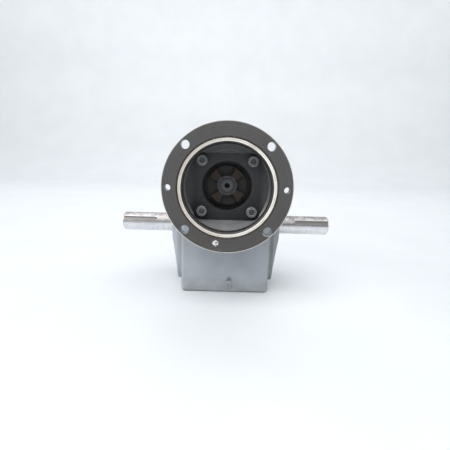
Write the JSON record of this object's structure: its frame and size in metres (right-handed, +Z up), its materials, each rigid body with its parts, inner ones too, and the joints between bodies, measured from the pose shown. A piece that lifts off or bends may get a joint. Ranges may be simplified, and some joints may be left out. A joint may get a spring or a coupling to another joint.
{
  "type": "right angle worm gearbox",
  "caption": "Right angle worm gear reducer: cast box with a hollow round motor flange above and a straight keyed output shaft through both sides below.",
  "frame": {"origin": "on the base plane, directly below the middle of the output shaft", "axes": "+X along the output shaft, +Y from the motor flange towards the rear cap, +Z up"},
  "size_m": [0.322, 0.1928, 0.2402],
  "materials": {
    "housing_paint": "semi-matte blue-grey machine enamel over cast iron",
    "flange_iron": "dark grey oxidised paint, bare machined ring",
    "gasket": "black fibre gasket",
    "screw_steel": "zinc plated steel",
    "plug_steel": "phosphated steel",
    "vent_brass": "dull brass",
    "seal_rubber": "black nitrile rubber",
    "spring_steel": "blued spring steel",
    "shaft_steel": "ground steel with light storage rust",
    "worm_steel": "ground steel, dull grey",
    "coupling_steel": "machined iron with rust bloom",
    "gear_bronze": "machined bronze",
    "gear_hub_iron": "machined cast iron",
    "bearing_steel": "polished bearing steel",
    "cage_brass": "pressed brass"
  },
  "bodies": {
    "gear_case": {"drain_plug": "plug_steel", "flange_gasket": "gasket", "flange_screws": "screw_steel", "front_input_bearing_outer_ring": "bearing_steel", "housing": "housing_paint", "input_seal": "seal_rubber", "left_cover_gasket": "gasket", "left_cover_screws": "screw_steel", "left_output_bearing_outer_ring": "bearing_steel", "left_output_seal": "seal_rubber", "left_side_cover": "housing_paint", "level_plug": "plug_steel", "motor_flange": "flange_iron", "rear_bearing_cap": "housing_paint", "rear_bearing_shim": "spring_steel", "rear_cap_gasket": "gasket", "rear_cap_screws": "screw_steel", "rear_input_bearing_outer_ring": "bearing_steel", "right_cover_gasket": "gasket", "right_cover_screws": "screw_steel", "right_output_bearing_outer_ring": "bearing_steel", "right_output_seal": "seal_rubber", "right_side_cover": "housing_paint", "vent_plug": "vent_brass"},
    "output_rotor": {"output_shaft": "shaft_steel", "worm_gear": "gear_bronze", "gear_hub": "gear_hub_iron", "gear_screws": "screw_steel", "gear_key": "shaft_steel", "gear_retaining_ring": "spring_steel", "left_spacer": "shaft_steel", "right_spacer": "shaft_steel", "left_output_bearing_inner_ring": "bearing_steel", "right_output_bearing_inner_ring": "bearing_steel"},
    "input_rotor": {"worm_shaft": "worm_steel", "coupling_hub": "coupling_steel", "coupling_key": "shaft_steel", "coupling_set_screw": "screw_steel", "rear_retaining_ring": "spring_steel", "front_input_bearing_inner_ring": "bearing_steel", "rear_input_bearing_inner_ring": "bearing_steel"},
    "front_input_cage": {"front_input_bearing_cage": "cage_brass", "front_input_bearing_balls": "bearing_steel"},
    "rear_input_cage": {"rear_input_bearing_cage": "cage_brass", "rear_input_bearing_balls": "bearing_steel"},
    "left_output_cage": {"left_output_bearing_cage": "cage_brass", "left_output_bearing_balls": "bearing_steel"},
    "right_output_cage": {"right_output_bearing_cage": "cage_brass", "right_output_bearing_balls": "bearing_steel"}
  },
  "joints": [
    {"name": "output_spin", "type": "hinge", "parent": "gear_case", "child": "output_rotor", "pos_m": [0, 0, 0.091], "axis": [1, 0, 0], "continuous": true},
    {"name": "input_spin", "type": "hinge", "parent": "gear_case", "child": "input_rotor", "pos_m": [0, 0, 0.15768], "axis": [0, 1, 0], "continuous": true},
    {"name": "left_output_cage_spin", "type": "hinge", "parent": "gear_case", "child": "left_output_cage", "pos_m": [-0.054, 0, 0.091], "axis": [1, 0, 0], "continuous": true},
    {"name": "right_output_cage_spin", "type": "hinge", "parent": "gear_case", "child": "right_output_cage", "pos_m": [0.054, 0, 0.091], "axis": [1, 0, 0], "continuous": true},
    {"name": "front_input_cage_spin", "type": "hinge", "parent": "gear_case", "child": "front_input_cage", "pos_m": [0, -0.04, 0.15768], "axis": [0, 1, 0], "continuous": true},
    {"name": "rear_input_cage_spin", "type": "hinge", "parent": "gear_case", "child": "rear_input_cage", "pos_m": [0, 0.04, 0.15768], "axis": [0, 1, 0], "continuous": true}
  ],
  "couplings": [
    {"joint": "input_spin", "follows": "output_spin", "ratio": 30},
    {"joint": "left_output_cage_spin", "follows": "output_spin", "ratio": 0.3965},
    {"joint": "right_output_cage_spin", "follows": "output_spin", "ratio": 0.3965},
    {"joint": "front_input_cage_spin", "follows": "output_spin", "ratio": 11.906},
    {"joint": "rear_input_cage_spin", "follows": "output_spin", "ratio": 11.906}
  ]
}
